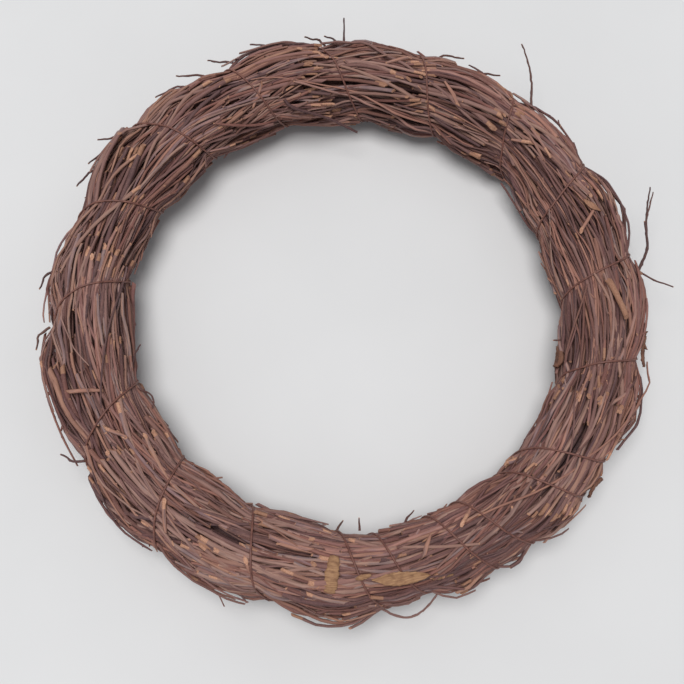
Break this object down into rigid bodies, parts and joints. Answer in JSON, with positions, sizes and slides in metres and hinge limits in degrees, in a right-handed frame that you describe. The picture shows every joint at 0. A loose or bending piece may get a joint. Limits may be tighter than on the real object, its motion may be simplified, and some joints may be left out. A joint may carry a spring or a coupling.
{
  "type": "twig wreath frame",
  "caption": "Round wreath base of thin brushwood twigs laid in sheaves round an inner hoop and bound with a spiral of thin wire.",
  "frame": {"origin": "below the ring's centre, on the surface that the wreath lies on", "axes": "+Z is the ring's axis, up from the surface; -Y is towards the viewer, +X to the viewer's right"},
  "size_m": [0.3159, 0.3136, 0.0513],
  "materials": {
    "twig_bark": "matte",
    "dark_twig": "matte",
    "pale_wood": "matte",
    "dry_leaf": "matte",
    "binding_wire": "satin",
    "hoop_steel": "satin"
  },
  "bodies": {
    "root": {"core_hoop": "hoop_steel", "binding_wire": "binding_wire", "base_sheaf_1": "twig_bark", "base_sheaf_2": "twig_bark", "base_sheaf_3": "twig_bark", "base_sheaf_4": "twig_bark", "base_sheaf_5": "twig_bark", "base_sheaf_6": "twig_bark", "base_sheaf_7": "twig_bark", "base_sheaf_8": "twig_bark", "cover_sheaf_1": "twig_bark", "cover_sheaf_2": "twig_bark", "cover_sheaf_3": "twig_bark", "cover_sheaf_4": "twig_bark", "cover_sheaf_5": "twig_bark", "cover_sheaf_6": "twig_bark", "cover_sheaf_7": "twig_bark", "cover_sheaf_8": "twig_bark", "cover_sheaf_9": "twig_bark", "cover_sheaf_10": "twig_bark", "bulge_twigs": "twig_bark", "underside_twigs": "twig_bark", "edge_twigs_top": "twig_bark", "edge_twigs_left": "twig_bark", "loop_twigs": "twig_bark", "stray_twig_top": "dark_twig", "stray_twig_tall": "dark_twig", "stray_twig_forked": "dark_twig", "stray_twig_right": "dark_twig", "dark_twig_crown": "dark_twig", "inner_twig_top": "dark_twig", "curly_twig_left": "dark_twig", "inner_spikes": "dark_twig", "peeled_twig": "pale_wood", "leaf_blade": "dry_leaf", "tan_leaf": "dry_leaf", "bark_strip": "dry_leaf", "bark_chips": "dry_leaf", "bark_lump": "twig_bark", "ragged_bark": "twig_bark"}
  },
  "joints": []
}
